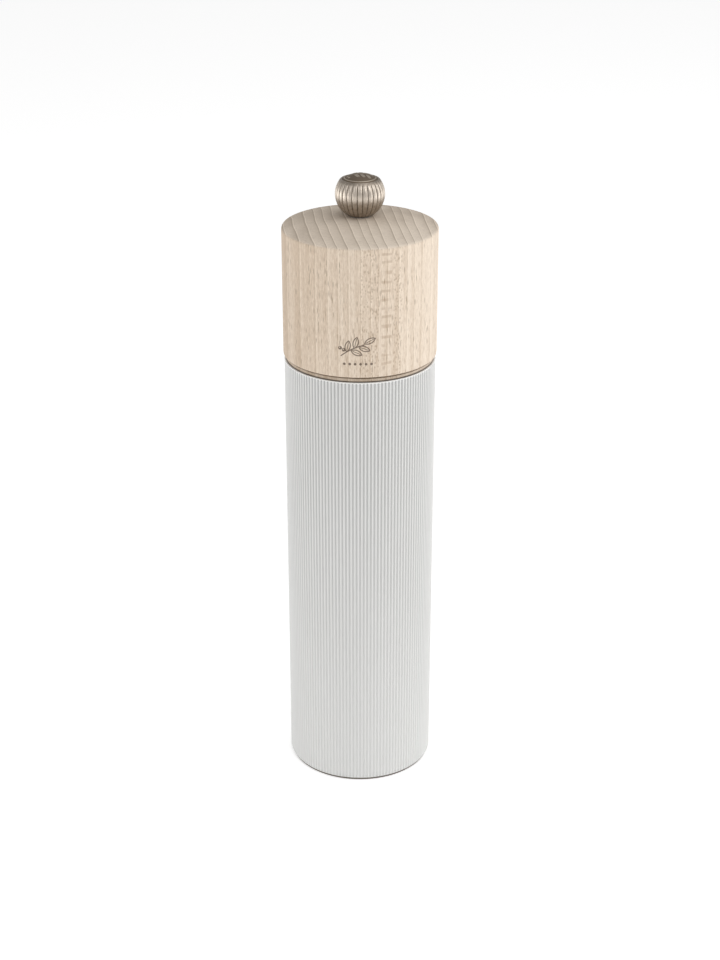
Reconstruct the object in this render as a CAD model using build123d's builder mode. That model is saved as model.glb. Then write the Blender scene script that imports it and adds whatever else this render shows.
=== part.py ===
from build123d import *
import os
from math import acos, asin, cos, degrees, pi, radians, sin

# A tall manual pepper mill. A fluted metal sleeve covers a bored wooden core. A wooden head turns on
# the core and drives a square shaft, which turns a conical rotor inside a fixed toothed stator. The
# knob on the shaft's thread holds the head down and pulls the rotor up to grind finer.
# Millimetres, +Z up, origin at the centre of the underside.

# Outside sizes
sleeve_radius = 26.05        # over the ribs
rib_count = 132
rib_depth = 0.35
sleeve_wall = 0.85           # under the valleys between the ribs
sleeve_chamfer = 0.4
foot_thickness = 1.0
foot_inset = 0.45            # foot ring inside the ribs
foot_wall = 1.0              # foot ring's collar inside the core
foot_chamfer = 0.25
sleeve_top = 156.5
band_height = 1.55           # sleeve's top to the top of the wooden rim
band_groove = 0.35           # shadow line between the sleeve and the rim
band_inset = 0.6             # wooden rim inside the ribs
head_overhang = 0.35         # head beyond the ribs
head_height = 44.4
head_dome = 3.8              # rise of the head's crowned top
head_rim_fillet = 1.0
head_lower_fillet = 0.4
knob_radius = 8.4
knob_base_wall = 0.5         # round the washer's recess
knob_rim_radius = 6.5
knob_equator = 7.15          # height of the widest ring above the knob's base
knob_height = 12.25          # base to rim, without the raised disc
knob_ribs = 28
groove_depth = 0.35          # between the knob's ribs
disc_radius = 5.9
disc_sunk = 0.1              # edge of the disc below the knob's rim
disc_rise = 1.75             # top of the disc above the knob's rim

# Clearances
glue_gap = 0.05              # between pieces pressed or glued together
rest_gap = 0.05              # between moving pieces that rest on each other
turn_gap = 0.08              # radial, where one piece turns in another
knob_gap = 0.1               # knob's base above the head's crown
head_gap = 0.45              # head's underside above the wooden rim

# Wooden core and what sits in its ends
core_wall = 5.6
core_lip = 1.4               # wood round the recess
recess_depth = 5.6           # for the mechanism's flange and the foot ring
neck_flange_seat = 3.35      # neck ring's flange beyond the core's bore
neck_flange_thickness = 1.2
neck_collar_seat = 1.05      # and its collar
neck_collar_length = 4.75
neck_step = 0.25             # neck ring's bore inside the core's
core_rim_fillet = 0.3

# Mechanism
flange_thickness = 1.6
housing_play = 0.1
housing_wall = 1.85
ledge_width = 2.0            # housing's ledge under the stator
stator_height = 14.0
fine_height = 7.0            # height of the fine teeth
grind_radius = 13.2          # stator's tooth tips at its lower face
grind_taper = 0.4            # radius lost for each millimetre upwards
grind_gap = 0.35             # radial, between the tooth tips at rest
tooth_depth = 0.55
stator_teeth = 36
rotor_teeth = 30
tooth_turn = 14.0            # degrees the fine teeth twist over their height
funnel_teeth = 12
funnel_radius = 12.4         # funnel's tooth tips at the stator's upper face
funnel_depth = 1.4           # of the funnel's teeth at the upper face
funnel_end_depth = 0.8       # and at the throat
feed_lobes = 4
lobe_radius = 9.4
lobe_top_radius = 7.6
lobe_turn = 80.0             # degrees the feed lobes twist over their height
feed_height = 8.4            # height of the feed lobes

# Shaft, bridge, spring and bush
square = 6.0                 # shaft, across its flats
square_play = 0.05           # each side
shaft_chamfer = 0.3
thread_pitch = 1.0
thread_depth = 0.6
thread_crest = 0.12          # width of the ridge at its top, for a pitch of 1
thread_foot = 0.84           # and at its foot
thread_below_crown = 3.0     # start of the thread under the head's top
journal_radius = 2.0
journal_length = 2.5         # turned end below the rotor
clip_groove_depth = 0.55
clip_reach = 1.4             # clip beyond the turned end
clip_thickness = 0.6
rotor_washer_radius = 5.5
rotor_washer_thickness = 0.8
spring_height = 4.95
spring_clearance = 0.28      # coil's mean radius beyond the bush's
spring_wire = 0.8
spring_turns = 3.5
bush_share = 0.82            # bush's radius to the shaft's width across flats
bush_flange = 1.68
bush_flange_thickness = 1.1
bush_lip = 0.9
bush_lip_reach = 0.6
strap_width = 8.0
strap_thickness = 1.3
strap_inset = 4.6            # inner face of the bridge's legs inside the stator's rim
foot_overhang = 0.7          # bridge's feet beyond the stator's rim
boss_wall = 1.48
boss_height = 2.6
eye_rim = 1.0                # the strap widens by this round its boss
strap_bend = 0.8             # inner radius of the bends

# Head fittings
tenon_length = 6.0
head_bore_room = 1.6         # head's bore beyond the shaft's flats
plate_radius = 14.0
plate_thickness = 1.5
ferrule_wall = 1.0
ferrule_length = 12.0
lift_room = 1.6              # between the shaft's square and the ferrule
washer_thickness = 0.4
washer_width = 0.7
insert_wall = 1.0
insert_floor = 1.2           # knob metal left under the insert
insert_room = 0.5            # between the insert and the disc
shaft_room = 1.5             # shaft's top below the insert's
disc_thickness = 0.9         # at the disc's edge

# Screws
housing_screw_inset = 2.1    # housing screws' circle beyond the core's bore
bridge_screw_inset = 1.6     # bridge screws' circle inside the stator's rim
plate_screw_circle = 10.5
wood_screw_radius = 0.9
wood_screw_head = 1.6
wood_screw_length = 8.5
machine_screw_radius = 0.8
machine_screw_head = 1.45
machine_screw_length = 5.0
screw_head_height = 1.0
screw_play = 0.05
screw_tip_room = 0.5         # hole beyond the screw's end
slot_length = 1.8
slot_width = 0.4
slot_depth = 0.5

# Radii that follow
core_radius = sleeve_radius - rib_depth - sleeve_wall - glue_gap
core_bore = core_radius - core_wall
recess_radius = core_radius - core_lip
foot_radius = sleeve_radius - foot_inset
band_radius = sleeve_radius - band_inset
head_radius = sleeve_radius + head_overhang
neck_flange_radius = core_bore + neck_flange_seat
neck_collar_radius = core_bore + neck_collar_seat
neck_bore = core_bore - neck_step
housing_radius = core_bore - housing_play
stator_radius = housing_radius - housing_wall - glue_gap
ledge_radius = stator_radius - ledge_width
housing_screw_circle = core_bore + housing_screw_inset
bridge_screw_circle = stator_radius - bridge_screw_inset
strap_inner = stator_radius - strap_inset
foot_reach = stator_radius + foot_overhang
hub_radius = square
thread_radius = square / 2
bush_radius = bush_share * square
bush_flange_radius = bush_radius + bush_flange
spring_radius = bush_radius + spring_clearance
boss_radius = bush_radius + boss_wall
eye_radius = boss_radius + eye_rim
head_bore = square / 2 + head_bore_room
ferrule_radius = thread_radius + ferrule_wall
washer_radius = thread_radius + washer_width
insert_radius = thread_radius + insert_wall
knob_base_radius = washer_radius + knob_base_wall

# Heights that follow
core_top = sleeve_top + band_height
recess_ceiling = foot_thickness + recess_depth
flange_bottom = recess_ceiling - flange_thickness
stator_bottom = recess_ceiling
stator_top = stator_bottom + stator_height
throat = stator_bottom + fine_height
rotor_bottom = stator_bottom + grind_gap
rotor_top = throat + feed_height
spring_bottom = rotor_top + rest_gap
spring_top = spring_bottom + spring_height
bush_top_of_flange = spring_top + rest_gap + bush_flange_thickness
strap_bottom = bush_top_of_flange + rest_gap
strap_top = strap_bottom + strap_thickness
boss_top = strap_top + boss_height
head_bottom = core_top + head_gap
neck_top = head_bottom - rest_gap
tenon_bottom = head_bottom - tenon_length
plate_bottom = tenon_bottom - plate_thickness
rim_height = head_bottom + head_height
crown_height = rim_height + head_dome
ferrule_bottom = crown_height - ferrule_length
square_top = ferrule_bottom - lift_room
washer_bottom = crown_height + rest_gap
knob_bottom = crown_height + knob_gap
knob_seat = washer_bottom + washer_thickness + rest_gap
knob_rim = knob_bottom + knob_height
disc_bottom = knob_rim - disc_thickness - disc_sunk
insert_bottom = knob_bottom + insert_floor
insert_top = disc_bottom - insert_room
shaft_top = insert_top - shaft_room
shaft_bottom = rotor_bottom - journal_length
clip_top = rotor_bottom - rotor_washer_thickness - glue_gap
clip_bottom = clip_top - clip_thickness


def toothed(tip, valley, count, turn):
    """Corners of a ring of saw teeth; the ring is turned about the axis by turn degrees."""
    corners = []
    for tooth in range(count):
        for share, radius in ((0.0, valley), (0.55, tip), (0.8, tip)):
            angle = radians(turn + 360 * (tooth + share) / count)
            corners.append((radius * cos(angle), radius * sin(angle)))
    return corners


def grind_radius_at(height):
    """Radius of the stator's tooth tips at a height in the fine zone."""
    return grind_radius - grind_taper * (height - stator_bottom)


def on_circle(radius, angle):
    """A point at an angle in degrees."""
    return (radius * cos(radians(angle)), radius * sin(radians(angle)))


# Foot ring: covers the lower ends of the core and the sleeve, pressed into the core's recess
foot_collar = recess_radius - glue_gap
foot_bore = foot_collar - foot_wall
with BuildPart() as foot_ring:
    with BuildSketch(Plane.XZ):
        with BuildLine():
            Polyline(
                (foot_bore, 0),
                (foot_radius, 0),
                (foot_radius, foot_thickness),
                (foot_collar, foot_thickness),
                (foot_collar, flange_bottom),
                (foot_bore, flange_bottom),
                close=True,
            )
        make_face()
    revolve(axis=Axis.Z)
    lower_edges = foot_ring.edges().filter_by(GeomType.CIRCLE).group_by(Axis.Z)[0]
    chamfer(lower_edges, foot_chamfer)

# Core: bored beech tube with a rim that shows above the sleeve
with BuildPart() as core:
    with BuildSketch(Plane.XZ):
        with BuildLine():
            Polyline(
                (recess_radius, foot_thickness),
                (core_radius, foot_thickness),
                (core_radius, sleeve_top + band_groove),
                (band_radius, sleeve_top + band_groove),
                (band_radius, core_top),
                (neck_flange_radius + glue_gap, core_top),
                (neck_flange_radius + glue_gap, neck_top - neck_flange_thickness),
                (neck_collar_radius + glue_gap, neck_top - neck_flange_thickness),
                (neck_collar_radius + glue_gap, neck_top - neck_flange_thickness - neck_collar_length),
                (core_bore, neck_top - neck_flange_thickness - neck_collar_length),
                (core_bore, recess_ceiling),
                (recess_radius, recess_ceiling),
                close=True,
            )
        make_face()
    revolve(axis=Axis.Z)
    rim_edge = core.edges().filter_by(GeomType.CIRCLE).group_by(Axis.Z)[-1].sort_by(SortBy.RADIUS)[-1]
    fillet(rim_edge, core_rim_fillet)
    with Locations(Plane.XY.offset(recess_ceiling)):
        with PolarLocations(housing_screw_circle, 3, 90):
            Cylinder(
                wood_screw_radius + screw_play,
                wood_screw_length,
                align=(Align.CENTER, Align.CENTER, Align.MIN),
                mode=Mode.SUBTRACT,
            )

# Sleeve: lacquered aluminium tube with fine rounded ribs, from the foot ring to the core's rim
crest = sleeve_radius
middle = sleeve_radius - rib_depth / 2
valley = sleeve_radius - rib_depth
rib_angle = 360 / rib_count
with BuildPart() as sleeve:
    with BuildSketch(Plane.XY.offset(foot_thickness)):
        with BuildLine():
            for rib in range(rib_count):
                centre = rib * rib_angle
                start = on_circle(middle, centre - rib_angle / 4)
                turn_over = on_circle(middle, centre + rib_angle / 4)
                end = on_circle(middle, centre + 3 * rib_angle / 4)
                ThreePointArc(start, on_circle(crest, centre), turn_over)
                ThreePointArc(turn_over, on_circle(valley, centre + rib_angle / 2), end)
        make_face()
        Circle(core_radius + glue_gap, mode=Mode.SUBTRACT)
    extrude(amount=sleeve_top - foot_thickness)
    with BuildSketch(Plane.XZ):
        for end_height, inward in ((sleeve_top, -1), (foot_thickness, 1)):
            with BuildLine():
                Polyline(
                    (sleeve_radius + 1, end_height + inward * (sleeve_chamfer + 1)),
                    (sleeve_radius + 1, end_height - inward),
                    (sleeve_radius - sleeve_chamfer - 1, end_height - inward),
                    close=True,
                )
            make_face()
    revolve(axis=Axis.Z, mode=Mode.SUBTRACT)

# Neck ring: nylon ring in the core's mouth; the head rests and turns on it
with BuildPart() as neck_ring:
    with BuildSketch(Plane.XZ):
        with BuildLine():
            Polyline(
                (neck_bore, neck_top),
                (neck_flange_radius, neck_top),
                (neck_flange_radius, neck_top - neck_flange_thickness),
                (neck_collar_radius, neck_top - neck_flange_thickness),
                (neck_collar_radius, neck_top - neck_flange_thickness - neck_collar_length),
                (neck_bore, neck_top - neck_flange_thickness - neck_collar_length),
                close=True,
            )
        make_face()
    revolve(axis=Axis.Z)

# Housing: cup that holds the stator, screwed to the core through its flange
with BuildPart() as housing:
    with BuildSketch(Plane.XZ):
        with BuildLine():
            Polyline(
                (ledge_radius, flange_bottom),
                (recess_radius - 2 * glue_gap, flange_bottom),
                (recess_radius - 2 * glue_gap, recess_ceiling),
                (housing_radius, recess_ceiling),
                (housing_radius, stator_top),
                (stator_radius + glue_gap, stator_top),
                (stator_radius + glue_gap, stator_bottom),
                (ledge_radius, stator_bottom),
                close=True,
            )
        make_face()
    revolve(axis=Axis.Z)
    with Locations(Plane(origin=(0, 0, flange_bottom), x_dir=(1, 0, 0), z_dir=(0, 0, -1))):
        with PolarLocations(housing_screw_circle, 3, 30):
            CounterSinkHole(
                radius=wood_screw_radius + screw_play,
                counter_sink_radius=wood_screw_head + screw_play,
                counter_sink_angle=90,
            )

# Housing screws: three countersunk wood screws from below
with BuildPart(Plane.XY.offset(flange_bottom)) as housing_screws:
    with PolarLocations(housing_screw_circle, 3, 90):
        Cone(
            wood_screw_head,
            wood_screw_radius,
            wood_screw_head - wood_screw_radius,
            align=(Align.CENTER, Align.CENTER, Align.MIN),
        )
        Cylinder(
            wood_screw_radius,
            wood_screw_length,
            align=(Align.CENTER, Align.CENTER, Align.MIN),
        )
        for slot_angle in (0, 90):
            Box(slot_length, slot_width, 2 * slot_depth, rotation=(0, 0, slot_angle), mode=Mode.SUBTRACT)

# Stator: fixed ring, fine teeth below the throat and a ribbed funnel above it
throat_radius = grind_radius_at(throat)
with BuildPart() as stator:
    with BuildSketch(Plane.XY.offset(stator_bottom)):
        Circle(stator_radius)
    extrude(amount=stator_height)
    for height, turn in ((stator_bottom, 0), (throat, -tooth_turn)):
        with BuildSketch(Plane.XY.offset(height)):
            with BuildLine():
                tip = grind_radius_at(height)
                Polyline(*toothed(tip + tooth_depth, tip, stator_teeth, turn), close=True)
            make_face()
    loft(ruled=True, mode=Mode.SUBTRACT)
    funnel_ends = ((throat, throat_radius, funnel_end_depth), (stator_top, funnel_radius, funnel_depth))
    for height, tip, depth in funnel_ends:
        with BuildSketch(Plane.XY.offset(height)):
            with BuildLine():
                Polyline(*toothed(tip + depth, tip, funnel_teeth, 0), close=True)
            make_face()
    loft(ruled=True, mode=Mode.SUBTRACT)
    with Locations(Plane.XY.offset(stator_top)):
        with PolarLocations(bridge_screw_circle, 2):
            Hole(machine_screw_radius + screw_play, depth=machine_screw_length + screw_tip_room)

# Bridge: bent steel strap across the stator, with a round eye that guides the shaft's bush
with BuildPart() as bridge:
    with BuildSketch(Plane.XZ) as strap:
        with BuildLine():
            Polyline(
                (foot_reach, stator_top),
                (strap_inner, stator_top),
                (strap_inner, strap_bottom),
                (0, strap_bottom),
                (0, strap_top),
                (strap_inner + strap_thickness, strap_top),
                (strap_inner + strap_thickness, stator_top + strap_thickness),
                (foot_reach, stator_top + strap_thickness),
                close=True,
            )
        make_face()
        outer_bend = strap.vertices().sort_by_distance((strap_inner + strap_thickness, strap_top))[0]
        fillet(outer_bend, strap_thickness + strap_bend)
        inner_bend = strap.vertices().sort_by_distance((strap_inner, strap_bottom))[0]
        fillet(inner_bend, strap_bend)
        mirror(about=Plane.YZ)
    extrude(amount=strap_width / 2, both=True)
    with Locations(Plane.XY.offset(strap_bottom)):
        Cylinder(eye_radius, strap_thickness, align=(Align.CENTER, Align.CENTER, Align.MIN))
        Cylinder(boss_radius, strap_thickness + boss_height, align=(Align.CENTER, Align.CENTER, Align.MIN))
    with Locations(Plane.XY.offset(boss_top)):
        Hole(bush_radius + turn_gap)
    with Locations(Plane.XY.offset(stator_top + strap_thickness)):
        with PolarLocations(bridge_screw_circle, 2):
            Hole(machine_screw_radius + screw_play, depth=strap_thickness)

# Bridge screws: two pan-head screws down into the stator
with BuildPart(Plane.XY.offset(stator_top + strap_thickness)) as bridge_screws:
    with PolarLocations(bridge_screw_circle, 2):
        Cylinder(machine_screw_head, screw_head_height, align=(Align.CENTER, Align.CENTER, Align.MIN))
        Cylinder(
            machine_screw_radius,
            machine_screw_length + strap_thickness,
            align=(Align.CENTER, Align.CENTER, Align.MAX),
        )
    with Locations((0, 0, screw_head_height)):
        with PolarLocations(bridge_screw_circle, 2):
            for slot_angle in (0, 90):
                Box(slot_length, slot_width, 2 * slot_depth, rotation=(0, 0, slot_angle), mode=Mode.SUBTRACT)

# Guide bush: nylon bush that turns with the shaft in the bridge's eye
with BuildPart() as guide_bush:
    with BuildSketch(Plane.XZ):
        with BuildLine():
            Polyline(
                (0, spring_top + rest_gap),
                (bush_flange_radius, spring_top + rest_gap),
                (bush_flange_radius, bush_top_of_flange),
                (bush_radius, bush_top_of_flange),
                (bush_radius, boss_top + rest_gap),
                (bush_radius + bush_lip_reach, boss_top + rest_gap),
                (bush_radius, boss_top + rest_gap + bush_lip),
                (0, boss_top + rest_gap + bush_lip),
                close=True,
            )
        make_face()
    revolve(axis=Axis.Z)
    with BuildSketch(Plane.XY.offset(spring_top)):
        Rectangle(square + 2 * square_play, square + 2 * square_play)
    extrude(amount=boss_top + 2 * bush_lip - spring_top, mode=Mode.SUBTRACT)

# Spring: presses the rotor down, away from the stator
coil_height = spring_height - spring_wire
coil_bottom = spring_bottom + spring_wire / 2
with BuildPart() as spring:
    with BuildLine():
        Helix(
            pitch=coil_height / spring_turns,
            height=coil_height,
            radius=spring_radius,
            center=(0, 0, coil_bottom),
        )
    with BuildSketch(Plane(origin=(spring_radius, 0, coil_bottom), x_dir=(1, 0, 0), z_dir=(0, 1, 0))):
        Circle(spring_wire / 2)
    sweep(is_frenet=True)

# Rotor: hardened cone, fine teeth below and twisted feed lobes above, on the shaft's square
with BuildPart() as rotor:
    for height, turn in ((rotor_bottom, 0), (throat, tooth_turn)):
        with BuildSketch(Plane.XY.offset(height)):
            with BuildLine():
                tip = grind_radius_at(height) - grind_gap
                Polyline(*toothed(tip, tip - tooth_depth, rotor_teeth, turn), close=True)
            make_face()
    loft(ruled=True)
    steps = 4
    for step in range(steps + 1):
        share = step / steps
        with BuildSketch(Plane.XY.offset(throat + share * feed_height)):
            with BuildLine():
                tip = lobe_radius + share * (lobe_top_radius - lobe_radius)
                Polyline(*toothed(tip, hub_radius, feed_lobes, share * lobe_turn), close=True)
            make_face()
    loft(ruled=True)
    with BuildSketch(Plane.XY.offset(throat)):
        Circle(hub_radius)
    extrude(amount=feed_height)
    with BuildSketch(Plane.XY.offset(rotor_bottom)):
        Rectangle(square + 2 * square_play, square + 2 * square_play)
    extrude(amount=rotor_top - rotor_bottom, mode=Mode.SUBTRACT)

# Shaft: square steel bar with a turned end for the clip and a thread for the knob
clip_groove = journal_radius - clip_groove_depth
thread_bottom = crown_height - thread_below_crown
thread_root = thread_radius - thread_depth
with BuildPart() as shaft:
    with BuildSketch(Plane.XY.offset(rotor_bottom)):
        Rectangle(square, square)
    extrude(amount=square_top - rotor_bottom)
    chamfer(shaft.edges().filter_by(Axis.Z), shaft_chamfer)
    with BuildSketch(Plane.XY.offset(shaft_bottom)):
        Circle(journal_radius)
    extrude(amount=rotor_bottom - shaft_bottom)
    with BuildSketch(Plane.XY.offset(clip_bottom - glue_gap)):
        Circle(journal_radius)
        Circle(clip_groove, mode=Mode.SUBTRACT)
    extrude(amount=clip_thickness + 2 * glue_gap, mode=Mode.SUBTRACT)
    with BuildSketch(Plane.XY.offset(square_top)):
        Circle(thread_radius)
    extrude(amount=thread_bottom - square_top)
    with BuildSketch(Plane.XY.offset(thread_bottom)):
        Circle(thread_root)
    extrude(amount=shaft_top - thread_bottom)
    with BuildLine():
        Helix(
            pitch=thread_pitch,
            height=shaft_top - thread_bottom - thread_pitch,
            radius=thread_root,
            center=(0, 0, thread_bottom + thread_pitch / 2),
        )
    thread_start = Plane(
        origin=(thread_root, 0, thread_bottom + thread_pitch / 2),
        x_dir=(1, 0, 0),
        z_dir=(0, 1, 0),
    )
    with BuildSketch(thread_start):
        with BuildLine():
            Polyline(
                (-glue_gap, thread_foot / 2 * thread_pitch),
                (thread_depth, thread_crest / 2 * thread_pitch),
                (thread_depth, -thread_crest / 2 * thread_pitch),
                (-glue_gap, -thread_foot / 2 * thread_pitch),
                close=True,
            )
        make_face()
    sweep(is_frenet=True)

# Rotor washer: steel disc under the rotor, on the shaft's turned end
with BuildPart() as rotor_washer:
    with BuildSketch(Plane.XY.offset(rotor_bottom - rotor_washer_thickness)):
        Circle(rotor_washer_radius)
        Circle(journal_radius + glue_gap, mode=Mode.SUBTRACT)
    extrude(amount=rotor_washer_thickness)

# Retaining clip: open spring-steel ring in the turned end's groove, holds the rotor and its washer
with BuildPart() as retaining_clip:
    with BuildSketch(Plane.XY.offset(clip_bottom)):
        Circle(journal_radius + clip_reach)
        Circle(clip_groove + glue_gap, mode=Mode.SUBTRACT)
        with Locations((journal_radius, 0)):
            Rectangle(2 * journal_radius, 2 * clip_groove, mode=Mode.SUBTRACT)
    extrude(amount=clip_thickness)

# Drive plate: steel plate under the head, whose square hole turns the shaft
with BuildPart() as drive_plate:
    with BuildSketch(Plane.XY.offset(plate_bottom)):
        Circle(plate_radius)
        Rectangle(square + 4 * square_play, square + 4 * square_play, mode=Mode.SUBTRACT)
        with PolarLocations(plate_screw_circle, 3, 90):
            Circle(wood_screw_radius + screw_play, mode=Mode.SUBTRACT)
    extrude(amount=plate_thickness)

# Plate screws: three wood screws with flat heads, up into the head
with BuildPart(Plane.XY.offset(plate_bottom)) as plate_screws:
    with PolarLocations(plate_screw_circle, 3, 90):
        Cylinder(wood_screw_head, screw_head_height, align=(Align.CENTER, Align.CENTER, Align.MAX))
        Cylinder(wood_screw_radius, wood_screw_length, align=(Align.CENTER, Align.CENTER, Align.MIN))
    with Locations((0, 0, -screw_head_height)):
        with PolarLocations(plate_screw_circle, 3, 90):
            for slot_angle in (0, 90):
                Box(slot_length, slot_width, 2 * slot_depth, rotation=(0, 0, slot_angle), mode=Mode.SUBTRACT)

# Head: turned beech, crowned on top, with a tenon that turns in the neck ring
crown_arc_radius = (head_radius**2 + head_dome**2) / (2 * head_dome)
with BuildPart() as head:
    with BuildSketch(Plane.XZ):
        with BuildLine():
            Polyline(
                (0, crown_height),
                (0, tenon_bottom),
                (neck_bore - turn_gap, tenon_bottom),
                (neck_bore - turn_gap, head_bottom),
                (head_radius, head_bottom),
                (head_radius, rim_height),
            )
            half_angle = degrees(asin(head_radius / crown_arc_radius))
            CenterArc((0, crown_height - crown_arc_radius), crown_arc_radius, 90 - half_angle, half_angle)
        make_face()
    revolve(axis=Axis.Z)
    circles = head.edges().filter_by(GeomType.CIRCLE)
    outer_edges = circles.filter_by(lambda edge: abs(edge.radius - head_radius) < 0.01).sort_by(Axis.Z)
    fillet(outer_edges[-1], head_rim_fillet)
    lower_edge = head.edges().filter_by(GeomType.CIRCLE).sort_by_distance((head_radius, 0, head_bottom))[0]
    fillet(lower_edge, head_lower_fillet)
    with BuildSketch(Plane.XY.offset(tenon_bottom)):
        Circle(head_bore)
    extrude(amount=ferrule_bottom - tenon_bottom, mode=Mode.SUBTRACT)
    with BuildSketch(Plane.XY.offset(ferrule_bottom)):
        Circle(ferrule_radius + glue_gap)
    extrude(amount=2 * ferrule_length, mode=Mode.SUBTRACT)
    with BuildSketch(Plane.XY.offset(tenon_bottom)):
        with PolarLocations(plate_screw_circle, 3, 90):
            Circle(wood_screw_radius + screw_play)
    extrude(amount=wood_screw_length, mode=Mode.SUBTRACT)

# Head ferrule: steel tube in the top of the head, round the shaft's thread
with BuildPart() as head_ferrule:
    with BuildSketch(Plane.XY.offset(ferrule_bottom)):
        Circle(ferrule_radius)
        Circle(thread_radius + turn_gap, mode=Mode.SUBTRACT)
    extrude(amount=ferrule_length)

# Knob washer: thin steel ring between the ferrule and the knob, in a recess of the knob's base
with BuildPart() as knob_washer:
    with BuildSketch(Plane.XY.offset(washer_bottom)):
        Circle(washer_radius)
        Circle(thread_radius + turn_gap, mode=Mode.SUBTRACT)
    extrude(amount=washer_thickness)

# Knob: cast ball with vertical ribs, bored from above for its threaded insert and its disc
equator_height = knob_bottom + knob_equator
lower_angle = degrees(acos(knob_base_radius / knob_radius))
upper_angle = degrees(acos(knob_rim_radius / knob_radius))
lower_half = knob_equator / sin(radians(lower_angle))
upper_half = (knob_height - knob_equator) / sin(radians(upper_angle))
knob_rings = 10
with BuildPart() as knob:
    for ring in range(knob_rings + 1):
        share = ring / knob_rings
        latitude = radians(share * (lower_angle + upper_angle) - lower_angle)
        half = lower_half if latitude < 0 else upper_half
        crest_radius = knob_radius * cos(latitude)
        groove = groove_depth * sin(pi * share) ** 0.5
        with BuildSketch(Plane.XY.offset(equator_height + half * sin(latitude))):
            with BuildLine():
                corners = []
                for rib in range(knob_ribs):
                    for part_turn, drop in ((-0.5, groove), (-0.3, 0), (0.3, 0)):
                        angle = (rib + part_turn) * 360 / knob_ribs
                        corners.append(on_circle(crest_radius - drop, angle))
                Polyline(*corners, close=True)
            make_face()
    loft(ruled=True)
    with BuildSketch(Plane.XY.offset(disc_bottom)):
        Circle(disc_radius + glue_gap)
    extrude(amount=knob_height, mode=Mode.SUBTRACT)
    with BuildSketch(Plane.XY.offset(insert_bottom)):
        Circle(insert_radius + glue_gap)
    extrude(amount=knob_height, mode=Mode.SUBTRACT)
    with BuildSketch(Plane.XY.offset(knob_bottom)):
        Circle(thread_radius + 2 * turn_gap)
    extrude(amount=knob_height, mode=Mode.SUBTRACT)
    with BuildSketch(Plane.XY.offset(knob_bottom)):
        Circle(washer_radius + turn_gap)
    extrude(amount=knob_seat - knob_bottom, mode=Mode.SUBTRACT)

# Knob insert: brass nut pressed into the knob; its bore stands at the thread's outer diameter
with BuildPart() as knob_insert:
    with BuildSketch(Plane.XY.offset(insert_bottom)):
        Circle(insert_radius)
        Circle(thread_radius + turn_gap, mode=Mode.SUBTRACT)
    extrude(amount=insert_top - insert_bottom)

# Knob disc: domed cap set into the top of the knob
with BuildPart() as knob_disc:
    with BuildSketch(Plane.XZ):
        with BuildLine():
            Polyline(
                (0, knob_rim + disc_rise),
                (0, disc_bottom),
                (disc_radius, disc_bottom),
                (disc_radius, disc_bottom + disc_thickness),
            )
            disc_sag = knob_rim + disc_rise - disc_bottom - disc_thickness
            disc_arc_radius = (disc_radius**2 + disc_sag**2) / (2 * disc_sag)
            disc_angle = degrees(asin(disc_radius / disc_arc_radius))
            CenterArc((0, knob_rim + disc_rise - disc_arc_radius), disc_arc_radius, 90 - disc_angle, disc_angle)
        make_face()
    revolve(axis=Axis.Z)

pieces = {
    "foot_ring": foot_ring,
    "core": core,
    "sleeve": sleeve,
    "neck_ring": neck_ring,
    "housing": housing,
    "housing_screws": housing_screws,
    "stator": stator,
    "bridge": bridge,
    "bridge_screws": bridge_screws,
    "guide_bush": guide_bush,
    "spring": spring,
    "rotor": rotor,
    "shaft": shaft,
    "rotor_washer": rotor_washer,
    "retaining_clip": retaining_clip,
    "drive_plate": drive_plate,
    "plate_screws": plate_screws,
    "head": head,
    "head_ferrule": head_ferrule,
    "knob_washer": knob_washer,
    "knob": knob,
    "knob_insert": knob_insert,
    "knob_disc": knob_disc,
}
os.makedirs("parts", exist_ok=True)
for name, piece in pieces.items():
    piece.part.label = name
    export_step(piece.part, f"parts/{name}.step")
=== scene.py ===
import math

import bpy
import numpy as np
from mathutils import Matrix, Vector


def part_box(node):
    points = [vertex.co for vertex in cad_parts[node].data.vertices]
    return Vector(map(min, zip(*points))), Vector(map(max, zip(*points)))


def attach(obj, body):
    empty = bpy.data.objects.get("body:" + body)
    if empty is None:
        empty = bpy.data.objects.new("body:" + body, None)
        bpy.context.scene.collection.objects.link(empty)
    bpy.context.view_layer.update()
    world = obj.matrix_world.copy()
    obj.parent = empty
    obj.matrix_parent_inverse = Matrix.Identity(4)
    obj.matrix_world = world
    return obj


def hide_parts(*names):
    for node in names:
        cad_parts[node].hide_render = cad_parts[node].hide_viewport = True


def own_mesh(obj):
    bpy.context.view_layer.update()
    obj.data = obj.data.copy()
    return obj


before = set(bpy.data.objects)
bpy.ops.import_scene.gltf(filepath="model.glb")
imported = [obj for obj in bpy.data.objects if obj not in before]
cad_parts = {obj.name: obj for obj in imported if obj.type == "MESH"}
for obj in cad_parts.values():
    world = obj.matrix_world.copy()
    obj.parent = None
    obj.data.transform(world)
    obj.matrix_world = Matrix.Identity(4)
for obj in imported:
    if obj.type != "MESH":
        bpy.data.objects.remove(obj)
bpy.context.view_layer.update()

MM = 0.001


# ---- Wooden core -----------------------------------------------------------------------
# A bored and turned tube of beech. Its upper rim is bare and shows as a thin band under the
# head, the rest is hidden in the sleeve. The wood is sanded and left without varnish.

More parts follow.
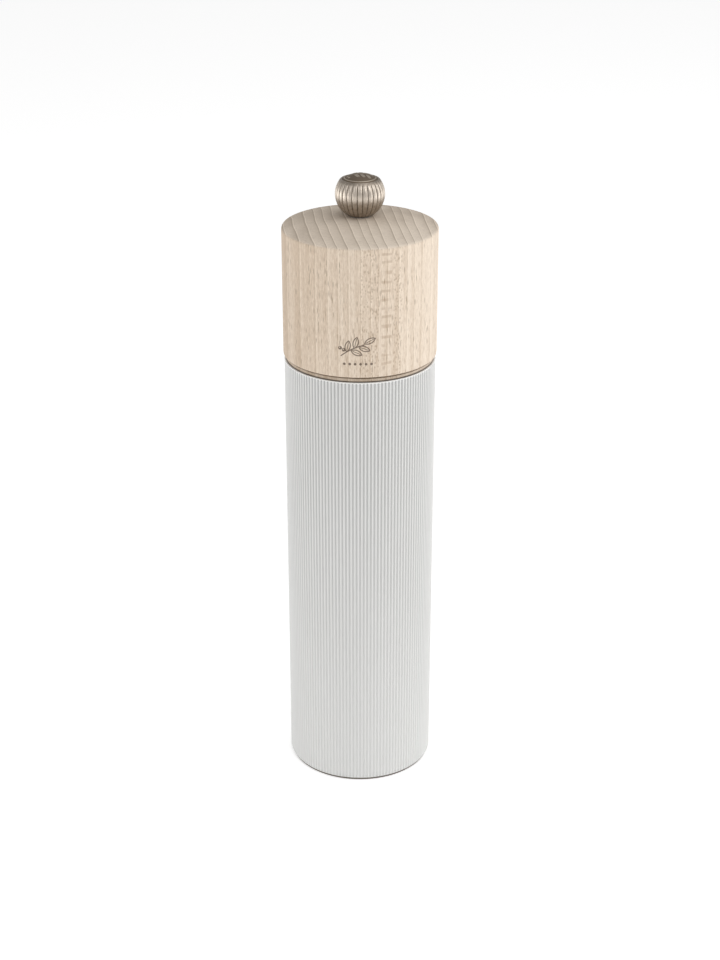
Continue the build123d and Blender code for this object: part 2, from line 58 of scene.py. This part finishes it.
class Wire:
    """A value that runs through a finish's nodes; sums on it become Math nodes."""

    def __init__(self, finish, socket):
        self.finish = finish
        self.socket = socket

    def math(self, operation, *values):
        inputs = dict(enumerate(values))
        return self.finish.node("ShaderNodeMath", {"operation": operation}, inputs)

    def __add__(self, other):
        return self.math("ADD", self, other)

    def __sub__(self, other):
        return self.math("SUBTRACT", self, other)

    def __rsub__(self, other):
        return self.math("SUBTRACT", other, self)

    def __mul__(self, other):
        return self.math("MULTIPLY", self, other)

    def __truediv__(self, other):
        return self.math("DIVIDE", self, other)

    def __pow__(self, other):
        return self.math("POWER", self, other)

    def __abs__(self):
        return self.math("ABSOLUTE", self)

    __radd__ = __add__
    __rmul__ = __mul__

    def sin(self):
        return self.math("SINE", self)

    def fract(self):
        return self.math("FRACT", self)

    def root(self):
        return self.math("SQRT", self)

    def least(self, other):
        return self.math("MINIMUM", self, other)

    def most(self, other):
        return self.math("MAXIMUM", self, other)

    def rise(self, low, high):
        """0 below low, 1 above high, smooth between; with low above high it falls."""
        if low > high:
            return 1 - self.rise(high, low)
        settings = {"interpolation_type": "SMOOTHSTEP"}
        return self.finish.node("ShaderNodeMapRange", settings, {0: self, 1: low, 2: high})


class Finish:
    """A material with one Principled shader. Places on it are in millimetres at rest."""

    def __init__(self, name, **same_all_over):
        self.material = bpy.data.materials.new(name)
        self.material.use_nodes = True
        self.tree = self.material.node_tree
        self.shader = self.tree.nodes["Principled BSDF"]
        for words, value in same_all_over.items():
            self.set(words.replace("_", " "), value)

    def node(self, kind, settings=None, inputs=None, output=0):
        made = self.tree.nodes.new(kind)
        for key, value in (settings or {}).items():
            setattr(made, key, value)
        for key, value in (inputs or {}).items():
            self.feed(made.inputs[key], value)
        return Wire(self, made.outputs[output])

    def feed(self, socket, value):
        if isinstance(value, Wire):
            self.tree.links.new(value.socket, socket)
        else:
            socket.default_value = value

    def set(self, words, value):
        names = {name.lower(): name for name in self.shader.inputs.keys()}
        self.feed(self.shader.inputs[names[words.lower()]], value)

    def place(self, stretch=(1, 1, 1), shift=(0, 0, 0)):
        """Where a point of the piece is, in millimetres, stretched and then shifted."""
        here = self.node("ShaderNodeTexCoord", output=3)
        scale = tuple(share / MM for share in stretch)
        settings = {"operation": "MULTIPLY_ADD"}
        return self.node("ShaderNodeVectorMath", settings, {0: here, 1: scale, 2: shift})

    def axes(self):
        """x, y and z of the point, in millimetres."""
        split = self.node("ShaderNodeSeparateXYZ", inputs={0: self.place()})
        outputs = split.socket.node.outputs
        return [Wire(self, outputs[axis]) for axis in range(3)]

    def noise(self, stretch, shift=(0, 0, 0), detail=2.0, rough=0.5):
        inputs = {"Vector": self.place(stretch, shift), "Scale": 1.0}
        inputs.update({"Detail": detail, "Roughness": rough})
        return self.node("ShaderNodeTexNoise", inputs=inputs)

    def cells(self, stretch, shift=(0, 0, 0)):
        """Distance to the nearest of a scatter of points, 0 at each point."""
        inputs = {"Vector": self.place(stretch, shift), "Scale": 1.0}
        return self.node("ShaderNodeTexVoronoi", inputs=inputs)

    def mix(self, share, first, second):
        inputs = {0: share, 6: first, 7: second}
        return self.node("ShaderNodeMix", {"data_type": "RGBA"}, inputs, output=2)

    def bump(self, height, depth, strength=1.0):
        """Height runs from 0 to 1 over a depth in millimetres."""
        inputs = {"Height": height, "Distance": depth * MM, "Strength": strength}
        self.set("normal", self.node("ShaderNodeBump", inputs=inputs))

    def on(self, *nodes):
        """Puts the finish on CAD nodes as they are."""
        for node in nodes:
            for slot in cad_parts[node].material_slots:
                slot.material = self.material


def paint(red, green, blue):
    """A colour given as 0 to 255 on a screen, as the shader's linear colour."""
    on_screen = (red, green, blue)
    linear = [((c / 255 + 0.055) / 1.055) ** 2.4 if c > 10 else c / 3295 for c in on_screen]
    return (*linear, 1.0)


def beech(name, end_grain_from, ray_band=False, burnt=None, shaded=None):
    """Quarter-sawn beech with its fibres along Z. End grain shows above a height."""
    wood = Finish(name, specular_ior_level=0.3)
    x, y, z = wood.axes()
    top = z.rise(end_grain_from, end_grain_from + 0.6)

    # Growth rings: curved lines from front to back, a few millimetres apart
    drift = wood.noise((0.06, 0.06, 0.004), detail=1.0) - 0.5
    across = x + 0.12 * y - 0.0032 * y * y + 1.6 * drift
    ring = 0.296 * across + 0.13 * (across * 0.47).sin() + 20.6
    part = ring.fract()
    strength = 0.5 + wood.noise((0.24, 0.03, 0.003), (4, 6, 2), detail=1.0)
    late = part.rise(0.2, 0.95) * strength
    dark_edge = part.rise(0.82, 0.95) * part.rise(1.0, 0.98)
    light_edge = part.rise(0.12, 0.04) * part.rise(0.0, 0.02)

    # Sides: short fibres, long fibres and broad bands
    fibres = wood.noise((3.0, 3.0, 0.5), detail=4.0, rough=0.7)
    long_fibres = wood.noise((2.0, 2.0, 0.035), (7, 1, 3), detail=3.0, rough=0.6)
    bands = wood.noise((0.30, 0.30, 0.006), (11, 3, 5), detail=3.0, rough=0.6)
    side_tone = 0.5 + 1.25 * (fibres - 0.5) + 0.6 * (long_fibres - 0.5) + 0.7 * (bands - 0.5)
    # The last term is painted light: the sides get lighter towards +x, where the main light falls.
    side_tone = side_tone + 0.14 * light_edge - 0.12 * late - 0.08 * dark_edge + 0.007 * x

    # End grain: pores, rays and cloudy patches
    pores = wood.noise((6.5, 6.5, 6.5), detail=3.0, rough=0.7)
    rays = wood.noise((0.55, 4.5, 4.5), (2, 8, 4), detail=2.0)
    patches = wood.noise((0.1, 0.1, 0.1), (5, 9, 2), detail=2.0)
    end_tone = 0.5 + 0.6 * (pores - 0.5) + 0.5 * (rays - 0.5) + 0.4 * (patches - 0.5)
    end_tone = end_tone + 0.26 * light_edge - 0.13 * late - 0.26 * dark_edge * strength
    # Painted light: the end grain gets lighter towards +x and towards the front (-y), where the
    # light falls on the crowned top.
    end_tone = end_tone + 0.002 * x - 0.006 * y

    # Short dark flecks, in loose groups
    dashes = wood.cells((1.5, 1.5, 0.24), (3, 1, 7)).rise(0.36, 0.12)
    chosen = wood.noise((0.4, 0.4, 0.06), (8, 2, 1), detail=2.0).rise(0.42, 0.58)
    flecks = dashes * chosen * (1 - top)

    side = wood.mix(side_tone.rise(0.0, 0.95), paint(203, 182, 159), paint(246, 231, 213))
    end = wood.mix(end_tone.rise(0.0, 1.0), paint(184, 169, 152), paint(246, 232, 215))
    colour = wood.mix(top, side, end)
    colour = wood.mix(0.6 * flecks, colour, paint(150, 128, 106))
    relief = 0.45 * fibres + 0.25 * pores - 0.5 * flecks - 0.25 * dark_edge

    # Where a face meets the rays: a ladder of faint rungs, with specks on both sides of it
    if ray_band:
        front = y.rise(-4, -10) * (1 - top)
        band = x.rise(6.9, 7.2) * x.rise(10.6, 10.2) * front
        waves = 2.05 * z + 9 * wood.noise((0.04, 0.02, 0.10), (2, 5, 9), detail=1.0)
        ends = wood.noise((0.25, 0.1, 0.25), (1, 1, 4), detail=1.0).rise(0.42, 0.62)
        rungs = band * waves.sin().rise(0.2, 0.9) * ends
        colour = wood.mix(0.36 * rungs, colour, paint(170, 142, 114))
        left_zone = x.rise(-0.6, 0.6) * x.rise(6.6, 6.0)
        right_zone = x.rise(10.6, 11.2) * x.rise(14.5, 13.2)
        zone = left_zone.most(right_zone) * front
        specks = wood.cells((1.3, 1.3, 0.8), (9, 4, 2)).rise(0.44, 0.24)
        some = wood.noise((0.5, 0.5, 0.35), (4, 4, 8), detail=1.0).rise(0.30, 0.46)
        colour = wood.mix(0.42 * specks * some * zone, colour, paint(162, 136, 108))

    if burnt:
        mark = burnt(x, y, z)
        colour = wood.mix(0.8 * mark, colour, paint(70, 51, 38))
        relief = relief - 0.8 * mark
    # Painted shade: where shaded is given, the wood is darkened towards a deep brown.
    if shaded:
        colour = wood.mix(shaded(z), colour, paint(92, 76, 60))
    wood.set("base color", colour)
    wood.set("roughness", 0.56 + 0.16 * fibres + 0.1 * top)
    wood.bump(relief, 0.05, 0.6)
    return wood


def rim_painted_shade(z):
    """Painted shade on the bare rim: all of it a little darker, as in the head's shadow, and
    darker still in the two narrow joints beside it.
    """
    low = z.rise(sleeve_high.z / MM + 0.75, sleeve_high.z / MM + 0.3)
    high = z.rise(core_high.z / MM - 0.45, core_high.z / MM - 0.15)
    return 0.3 + 0.4 * low.most(high)


core_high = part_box("core")[1]
sleeve_low, sleeve_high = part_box("sleeve")
beech("core_beech", core_high.z / MM + 1, shaded=rim_painted_shade).on("core")


# ---- Sleeve ----------------------------------------------------------------------------
# Extruded aluminium tube with fine ribs, lacquered white. The valleys between the ribs run
# out in small round arches just below the rim, so the rim itself is plain.

def turned(name, rows, steps, radius=None):
    """A closed body turned about Z. rows holds (radius, height) in metres; radius may
    change a row's radius with the angle."""
    angles = np.arange(steps) * 2 * math.pi / steps
    points = []
    for row, (reach, height) in enumerate(rows):
        far = np.full(steps, reach) if radius is None else radius(row, reach, height, angles)
        level = np.full(steps, height)
        points.append(np.stack([far * np.cos(angles), far * np.sin(angles), level], 1))
    faces = []
    for row in range(len(rows)):
        after = (row + 1) % len(rows)
        for step in range(steps):
            beside = (step + 1) % steps
            a, b = row * steps, after * steps
            faces.append((a + step, a + beside, b + beside, b + step))
    mesh = bpy.data.meshes.new(name)
    mesh.from_pydata(np.concatenate(points).tolist(), [], faces)
    mesh.polygons.foreach_set("use_smooth", [True] * len(faces))
    mesh.set_sharp_from_angle(angle=math.radians(38))
    made = bpy.data.objects.new(name, mesh)
    bpy.context.scene.collection.objects.link(made)
    return made


sleeve_radius = sleeve_high.x
sleeve_bore = core_high.x - 0.6 * MM
rib_count = 132
rib_steps = 14
groove_share = 0.30
groove_depth = 0.30 * MM
arch = 0.55 * MM
plain_rim = 0.16 * MM
edge = 0.16 * MM


def ribbed(row, reach, height, angles):
    """Radius of the sleeve's outside: round valleys that end in arches near both rims."""
    if reach < sleeve_radius - 0.3 * MM:
        return np.full(len(angles), reach)
    from_end = min(height - sleeve_low.z, sleeve_high.z - height) - plain_rim
    run_out = min(max(from_end / arch, 0.0), 1.0)
    width = groove_share * math.sqrt(1 - (1 - run_out) ** 2) + 1e-6
    across = (angles * rib_count / (2 * math.pi) + 0.5) % 1.0 - 0.5
    valley = np.sqrt(np.clip(1 - (across / width) ** 2, 0, 1)) * min(run_out * 2.5, 1)
    crown = 0.03 * MM * (np.abs(across) * 2 - 1) ** 2
    return reach - groove_depth * valley ** 1.3 - crown


heights = [0.0, 0.2, 0.45, 0.7, 1.0]
rims = [plain_rim + arch * step for step in heights]
bottom, rim = sleeve_low.z, sleeve_high.z
rows = [(sleeve_bore, bottom), (sleeve_radius - edge, bottom), (sleeve_radius, bottom + edge)]
rows += [(sleeve_radius, bottom + up) for up in rims]
rows += [(sleeve_radius, rim - down) for down in reversed(rims)]
rows += [(sleeve_radius, rim - edge), (sleeve_radius - edge, rim), (sleeve_bore, rim)]
sleeve = turned("ribbed_sleeve", rows, rib_count * rib_steps, ribbed)

lacquer = Finish("white_lacquer", coat_roughness=0.25, coat_weight=0.25)
lx, ly, lz = lacquer.axes()
from_axis = (lx * lx + ly * ly).root()
in_valley = from_axis.rise(sleeve_radius / MM - 0.03, sleeve_radius / MM - 0.28)
below_rim = lz.rise(0, sleeve_high.z / MM)
on_rim = lz.rise(sleeve_high.z / MM - 0.5, sleeve_high.z / MM - 0.15)
peel = lacquer.noise((1.6, 1.6, 1.1), detail=2.0)
cloud = lacquer.noise((0.05, 0.05, 0.02), detail=2.0)
white = lacquer.mix(cloud, paint(222, 222, 220), paint(228, 228, 226))
# Painted highlight: the top of the rim is near-white, as where its rounded edge catches the light.
white = lacquer.mix(on_rim, white, paint(253, 253, 252))
# Painted shade: the inner edge of the rim, in the joint with the core, is dark brown.
inner_edge = from_axis.rise(sleeve_radius / MM - 0.45, sleeve_radius / MM - 0.75)
white = lacquer.mix(0.8 * inner_edge * on_rim, white, paint(120, 104, 88))
# Painted shade: the valleys between the ribs are greyed, more towards the top, but not on the rim.
shade = in_valley * (0.08 + 0.44 * below_rim) * (1 - on_rim)
valley_shaded = lacquer.mix(shade, white, paint(150, 150, 149))
lacquer.set("base color", valley_shaded)
lacquer.set("roughness", 0.36 + 0.12 * peel)
lacquer.bump(peel, 0.0012, 0.5)
sleeve.data.materials.append(lacquer.material)
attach(sleeve, "body")
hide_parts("sleeve")


# ---- Foot ring -------------------------------------------------------------------------
# A moulded ring of dark plastic, pressed into the core, that covers the raw lower ends of
# the wood and the sleeve. The mill stands on it.

def moulded(name, light, dark, rough):
    """Matt moulded plastic with a fine eroded texture."""
    plastic = Finish(name, specular_ior_level=0.4)
    grain = plastic.noise((7, 7, 7), detail=3.0)
    cloud = plastic.noise((0.15, 0.15, 0.15), detail=2.0)
    plastic.set("base color", plastic.mix(cloud, dark, light))
    plastic.set("roughness", rough + 0.15 * grain)
    plastic.bump(grain, 0.02, 0.5)
    return plastic


moulded("foot_plastic", paint(112, 104, 96), paint(98, 91, 84), 0.5).on("foot_ring")


# ---- Neck ring and guide bush ----------------------------------------------------------
# Natural nylon, a little yellow. The head turns in the neck ring, and the bush turns with
# the shaft in the bridge.

moulded("nylon", paint(228, 222, 206), paint(216, 209, 190), 0.42).on("neck_ring", "guide_bush")


# ---- Housing, bridge and washers -------------------------------------------------------
# Steel parts with a thin zinc plating: a cup for the stator, the strap that guides the
# shaft, the plate under the head, the ferrule and the washers.

def machined(name, light, dark, rough, turning):
    """Bare or plated metal with fine tool marks; turning stretches them."""
    metal = Finish(name, metallic=1.0)
    marks = metal.noise(turning, detail=3.0, rough=0.6)
    cloud = metal.noise((0.35, 0.35, 0.35), (3, 3, 3), detail=3.0)
    metal.set("base color", metal.mix(cloud.rise(0.3, 0.7), dark, light))
    metal.set("roughness", rough + 0.16 * marks + 0.08 * cloud)
    metal.bump(marks, 0.01, 0.5)
    return metal


plated = machined("zinc_plate", paint(205, 206, 208), paint(184, 186, 190), 0.24, (1.2, 1.2, 6))
plated.on("housing", "bridge", "drive_plate", "head_ferrule", "rotor_washer", "knob_washer")


# ---- Screws ----------------------------------------------------------------------------
# Cross-head screws with a brighter plating than the sheet parts.

screw_steel = machined("screw_steel", paint(214, 210, 198), paint(190, 186, 172), 0.22, (4, 4, 4))
screw_steel.on("housing_screws", "bridge_screws", "plate_screws")


# ---- Stator and rotor ------------------------------------------------------------------
# The two toothed parts that crack and grind the pepper: case-hardened steel with a dark
# phosphate coat, worn bright in small scattered spots.

phosphate = Finish("hardened_steel", metallic=1.0)
pitting = phosphate.noise((4, 4, 4), detail=4.0, rough=0.65)
patches = phosphate.noise((0.5, 0.5, 0.5), detail=3.0)
dull = phosphate.mix(patches.rise(0.35, 0.65), paint(98, 98, 102), paint(122, 122, 124))
phosphate.set("base color", phosphate.mix(pitting.rise(0.62, 0.75), dull, paint(158, 158, 158)))
phosphate.set("roughness", 0.36 + 0.2 * pitting)
phosphate.bump(pitting, 0.03, 0.6)
phosphate.on("stator", "rotor")


# ---- Shaft, spring and clip ------------------------------------------------------------
# Drawn steel: the square shaft carries lengthwise draw marks, the spring and the clip are
# hard wire and strip. In the mill the spring is pressed shorter as the rotor rises; here it
# is a copy on a mesh of its own, parented to the drive.

machined("drawn_steel", paint(198, 198, 198), paint(170, 170, 172), 0.26, (5, 5, 0.12)).on("shaft")
wire = machined("spring_wire", paint(176, 178, 182), paint(150, 152, 156), 0.3, (2, 2, 2))
wire.on("spring", "retaining_clip")

coil = bpy.data.objects.new("coil_spring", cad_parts["spring"].data.copy())
bpy.context.scene.collection.objects.link(coil)
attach(coil, "drive")
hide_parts("spring")
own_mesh(coil)


# ---- Head ------------------------------------------------------------------------------
# Turned from a solid beech blank: straight sides, a crowned top that shows the end grain,
# and a small sprig with peppercorns burnt in by laser at the front.

def disc(x, z, centre_x, centre_z, reach):
    """Distance to a circle, below 0 inside it."""
    return ((x - centre_x) ** 2.0 + (z - centre_z) ** 2.0).root() - reach


def sprig(x, y, z):
    """Burnt lines of a leafy pepper sprig with two corns, over a row of six dots."""
    # u runs across and v up, both from the middle of the row of dots
    size = 1.2
    dots_height = head_low.z / MM + 10.9
    u, v = (x + 0.7) / size, (z - dots_height) / size
    soft = 0.07
    lean = math.radians(27)
    along = (u + 4.7) * math.cos(lean) + (v - 2.3) * math.sin(lean)
    aside = (v - 2.3) * math.cos(lean) - (u + 4.7) * math.sin(lean)
    bow = abs(aside - 0.45 * (along * 0.42).sin()) - 0.12
    marks = bow.most(0 - along).most(along - 7.4).rise(soft, 0.0)
    for start, turn in ((1.9, 52), (4.3, 50), (3.2, -50), (5.6, -48), (7.4, 0)):
        way = math.radians(turn)
        out = (along - start) * math.cos(way) + (aside - 0.3) * math.sin(way) - 1.75
        over = (aside - 0.3) * math.cos(way) - (along - start) * math.sin(way)
        leaf = disc(out, over, 0.0, 1.55, 2.25).most(disc(out, over, 0.0, -1.55, 2.25))
        vein = (abs(over) - 0.07).most(abs(out) - 1.2)
        marks = marks.most((abs(leaf) - 0.11).rise(soft, 0.0)).most(vein.rise(soft, 0.0))
    for corn_u, corn_v in ((-3.9, 4.1), (-4.9, 4.6)):
        corn = disc(u, v, corn_u, corn_v, 0.5)
        glint = disc(u, v, corn_u - 0.13, corn_v + 0.15, 0.13)
        marks = marks.most(corn.rise(soft, 0.0) * glint.rise(0.0, soft))
    spacing = 1.5
    dot_u = abs((u / spacing).fract() - 0.5) * spacing
    dots = disc(dot_u, v, 0.0, 0.0, 0.34).most(abs(u) - 4.6)
    return marks.most(dots.rise(soft, 0.0)) * y.rise(-5, -8)


head_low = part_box("head")[0]
side_height = 202.3
beech("head_beech", side_height, ray_band=True, burnt=sprig).on("head")


# ---- Knob ------------------------------------------------------------------------------
# A cast ball with 28 rounded ribs, browned and polished back so that the grooves stay
# dark; its lower half and a band at the top by the disc are darkened as painted shade.
# It is bored for its threaded insert and recessed on top for the disc.

knob_low, knob_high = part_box("knob")
disc_low, disc_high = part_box("knob_disc")
insert_low, insert_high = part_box("knob_insert")
knob_radius = knob_high.x
knob_base = 4.2 * MM
knob_rim = 6.5 * MM
equator = knob_low.z + 7.15 * MM
knob_ribs = 28
knob_steps = 16
below = math.acos(knob_base / knob_radius)
above = math.acos(knob_rim / knob_radius)
lower_half = (equator - knob_low.z) / math.sin(below)
upper_half = (knob_high.z - equator) / math.sin(above)
knob_rings = 44

outer = []
for ring in range(knob_rings + 1):
    latitude = -below + (below + above) * ring / knob_rings
    half = lower_half if latitude < 0 else upper_half
    outer.append((knob_radius * math.cos(latitude), equator + half * math.sin(latitude)))
bore = 3.16 * MM
washer_recess = 3.78 * MM
washer_seat = knob_low.z + 0.4 * MM
seat = insert_high.x + 0.05 * MM
recess = disc_high.x + 0.05 * MM
rim_round = 0.2 * MM
knob_rows = [
    (bore, washer_seat),
    (washer_recess, washer_seat),
    (washer_recess, knob_low.z),
    (knob_base - 0.15 * MM, knob_low.z),
]
first_ring = len(knob_rows) - 1
knob_rows += outer[1:-1]
knob_rows += [
    (knob_rim + 0.02 * MM, knob_high.z - rim_round),
    (knob_rim - rim_round, knob_high.z),
    (recess + 0.12 * MM, knob_high.z),
    (recess, knob_high.z - 0.12 * MM),
    (recess, disc_low.z),
    (seat, disc_low.z),
    (seat, insert_low.z),
    (bore, insert_low.z),
]


def cast_ribs(row, reach, height, angles):
    """Radius of the ball: round lobes with narrow grooves that fade at both ends."""
    share = (row - first_ring) / knob_rings
    if not 0 < share < 1:
        return np.full(len(angles), reach)
    fade = min(1.0, (1 - share) / 0.12) * min(1.0, max(0.15, (share - 0.05) / 0.35))
    across = (angles * knob_ribs / (2 * math.pi) + 0.5) % 1.0 - 0.5
    lobe = 1 - np.sqrt(np.clip(1 - (2 * across) ** 2, 0, 1))
    return reach - 0.42 * MM * fade * lobe * (0.4 + 0.6 * reach / knob_radius)


knob = turned("ribbed_knob", knob_rows, knob_ribs * knob_steps, cast_ribs)
pewter = Finish("antiqued_cast", metallic=1.0)
kx, ky, kz = pewter.axes()
turn = pewter.node("ShaderNodeMath", {"operation": "ARCTAN2"}, {0: ky, 1: kx})
from_rib = abs((turn * (knob_ribs / (2 * math.pi)) + 0.5).fract() - 0.5) * 2
pits = pewter.noise((3, 3, 3), detail=4.0, rough=0.6)
browning = pewter.noise((1.1, 1.1, 1.1), (2, 7, 1), detail=4.0, rough=0.6)
# Painted shade: the lower half of the ball is darkened, standing in for the dark wood and
# surroundings it reflects, and a band at the top by the disc is darkened as shade round the disc.
# The dark grooves are browned patina.
lower_half_shade = kz.rise(knob_low.z / MM + 8.2, knob_low.z / MM + 5.2)
rim_band_shade = kz.rise(knob_high.z / MM - 1.1, knob_high.z / MM - 0.5)
in_groove = from_rib.rise(0.7, 1.0) * (1 - rim_band_shade) * (1 - 0.6 * lower_half_shade)
dark = 0.85 * in_groove + 0.56 * lower_half_shade + 0.5 * rim_band_shade + 0.8 * (browning - 0.5)
dark = dark.most(0.0).least(1.0)
pewter.set("base color", pewter.mix(dark, paint(218, 206, 192), paint(104, 90, 76)))
pewter.set("roughness", 0.27 + 0.16 * pits + 0.18 * in_groove + 0.1 * lower_half_shade)
pewter.bump(pits + 0.5 * browning, 0.02, 0.6)
knob.data.materials.append(pewter.material)
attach(knob, "knob")
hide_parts("knob")

machined("brass", paint(214, 178, 112), paint(190, 152, 86), 0.22, (1, 1, 6)).on("knob_insert")


# ---- Knob disc -------------------------------------------------------------------------
# A small cast disc set into the knob, with a bead round its edge and a raised pepper
# sprig. It is browned, and only the high parts are polished back.

def relief(x, y):
    """Height of the raised work in millimetres, over the disc's crown."""
    away = np.hypot(x, y)
    raised = 0.10 * np.exp(-(((away - 5.25) / 0.2) ** 2))
    bow = y - 0.35 * np.sin(x * 0.8)
    raised = np.maximum(raised, 0.10 * np.exp(-((bow / 0.2) ** 2)) * (np.abs(x) < 4.2))
    leaves = ((-2.9, 1), (-1.0, 1), (0.9, 1), (-2.0, -1), (-0.1, -1), (1.8, -1))
    corns = ((3.3, 1.3), (4.1, 0.5), (3.9, 1.9), (3.0, 2.5), (-4.1, -0.9), (-3.6, -2.0))
    for base, side in leaves:
        lean = side * math.radians(58)
        cx, cy = base + 1.0, side * 1.75
        along = (x - cx) * math.cos(lean) + (y - cy) * math.sin(lean)
        aside = (y - cy) * math.cos(lean) - (x - cx) * math.sin(lean)
        leaf = np.clip(1 - (along / 1.6) ** 2 - (aside / 0.68) ** 2, 0, 1)
        vein = 1 - 0.5 * np.exp(-((aside / 0.12) ** 2))
        raised = np.maximum(raised, 0.10 * np.sqrt(leaf) * vein)
    for cx, cy in corns:
        corn = np.clip(1 - ((x - cx) ** 2 + (y - cy) ** 2) / 0.45 ** 2, 0, 1)
        raised = np.maximum(raised, 0.11 * np.sqrt(corn))
    return raised


disc_radius = disc_high.x
disc_rings = 90
disc_steps = 200
disc_edge = disc_low.z + 0.9 * MM
crown_room = 0.11 * MM
points, faces = [(0.0, 0.0, 0.0)], []
for ring in range(1, disc_rings + 1):
    reach = disc_radius * ring / disc_rings
    for step in range(disc_steps):
        angle = 2 * math.pi * step / disc_steps
        points.append((reach * math.cos(angle), reach * math.sin(angle), 0.0))
places = np.array(points)
away = np.hypot(places[:, 0], places[:, 1]) / disc_radius
raised = relief(places[:, 0] / MM, places[:, 1] / MM) * (away < 0.97)
crown = (disc_high.z - crown_room - disc_edge) * (1 - away ** 2)
places[:, 2] = disc_edge + crown + raised * MM
places[away > 0.99, 2] = disc_edge
lower = places[-disc_steps:].copy()
lower[:, 2] = disc_low.z
places = np.concatenate([places, lower])
worn = np.concatenate([np.clip(raised / 0.09, 0, 1), np.zeros(disc_steps)])
for step in range(disc_steps):
    beside = (step + 1) % disc_steps
    faces.append((0, 1 + step, 1 + beside))
    for ring in range(disc_rings):
        a, b = 1 + ring * disc_steps, 1 + (ring + 1) * disc_steps
        faces.append((a + step, b + step, b + beside, a + beside))
last = 1 + disc_rings * disc_steps
faces.append([last + step for step in reversed(range(disc_steps))])
disc_mesh = bpy.data.meshes.new("sprig_disc")
disc_mesh.from_pydata(places.tolist(), [], faces)
disc_mesh.polygons.foreach_set("use_smooth", [True] * len(faces))
disc_mesh.set_sharp_from_angle(angle=math.radians(60))
disc_mesh.attributes.new("raised", "FLOAT", "POINT").data.foreach_set("value", worn)
knob_disc = bpy.data.objects.new("sprig_disc", disc_mesh)
bpy.context.scene.collection.objects.link(knob_disc)

browned = Finish("browned_disc", metallic=1.0)
high = browned.node("ShaderNodeAttribute", {"attribute_name": "raised"}, output=2)
rub = browned.noise((2.5, 2.5, 2.5), detail=3.0)
shine = (high.rise(0.35, 0.9) * (0.6 + 0.6 * rub)).least(1.0)
browned.set("base color", browned.mix(shine, paint(132, 118, 103), paint(206, 194, 178)))
browned.set("roughness", 0.5 + 0.1 * rub - 0.2 * shine)
browned.bump(rub, 0.01, 0.5)
disc_mesh.materials.append(browned.material)
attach(knob_disc, "knob")
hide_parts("knob_disc")


# ---- Studio ----------------------------------------------------------------------------
# A pale floor, one soft light low at each side, a large one above, two small ones high at
# the front that show on the metal, and the camera.

def light(name, place, target, width, height, watts):
    lamp = bpy.data.lights.new(name, "AREA")
    lamp.shape = "RECTANGLE"
    lamp.size, lamp.size_y, lamp.energy = width, height, watts
    made = bpy.data.objects.new(name, lamp)
    made.location = place
    aim = np.array(target) - np.array(place)
    made.rotation_euler = (
        math.acos(-aim[2] / np.linalg.norm(aim)),
        0,
        math.atan2(aim[1], aim[0]) - math.pi / 2,
    )
    bpy.context.scene.collection.objects.link(made)


middle = (0, 0, 0.11)
light("right_light", (0.8, 0.0, 0.2), middle, 0.5, 0.8, 1.3)
light("left_light", (-0.8, 0.0, 0.02), (0, 0, 0.05), 0.5, 0.6, 1.6)
light("top_light", (0.6, -0.3, 1.3), middle, 1.8, 1.8, 6.2)
light("front_left_light", (-0.55, -0.75, 0.8), middle, 0.35, 0.35, 0.6)
light("front_right_light", (0.6, -0.7, 0.8), middle, 0.35, 0.35, 0.6)

floor_mesh = bpy.data.meshes.new("floor")
half = 6.0
corners = [(-half, -half, 0), (half, -half, 0), (half, half, 0), (-half, half, 0)]
floor_mesh.from_pydata(corners, [], [(0, 1, 2, 3)])
floor = bpy.data.objects.new("floor", floor_mesh)
bpy.context.scene.collection.objects.link(floor)
pale = Finish("pale_floor", roughness=0.9, specular_ior_level=0.1)
pale.set("base color", paint(246, 246, 246))
pale.set("emission color", paint(255, 255, 255))
pale.set("emission strength", 0.49)
floor_mesh.materials.append(pale.material)

world = bpy.data.worlds.new("studio")
world.use_nodes = True
world.node_tree.nodes["Background"].inputs["Color"].default_value = (1, 1, 1, 1)
world.node_tree.nodes["Background"].inputs["Strength"].default_value = 0.45
bpy.context.scene.world = world
bpy.context.scene.view_settings.view_transform = "Standard"

camera_data = bpy.data.cameras.new("camera")
camera_data.sensor_fit = "VERTICAL"
camera_data.sensor_height = 36
camera_data.lens = 68.6
camera = bpy.data.objects.new("camera", camera_data)
tilt = math.radians(24.46)
camera_distance = 0.6508
aim_height = 0.1094
camera_rise = aim_height + camera_distance * math.sin(tilt)
camera.location = (0, -camera_distance * math.cos(tilt), camera_rise)
camera.rotation_euler = (math.pi / 2 - tilt, 0, 0)
bpy.context.scene.collection.objects.link(camera)
bpy.context.scene.camera = camera
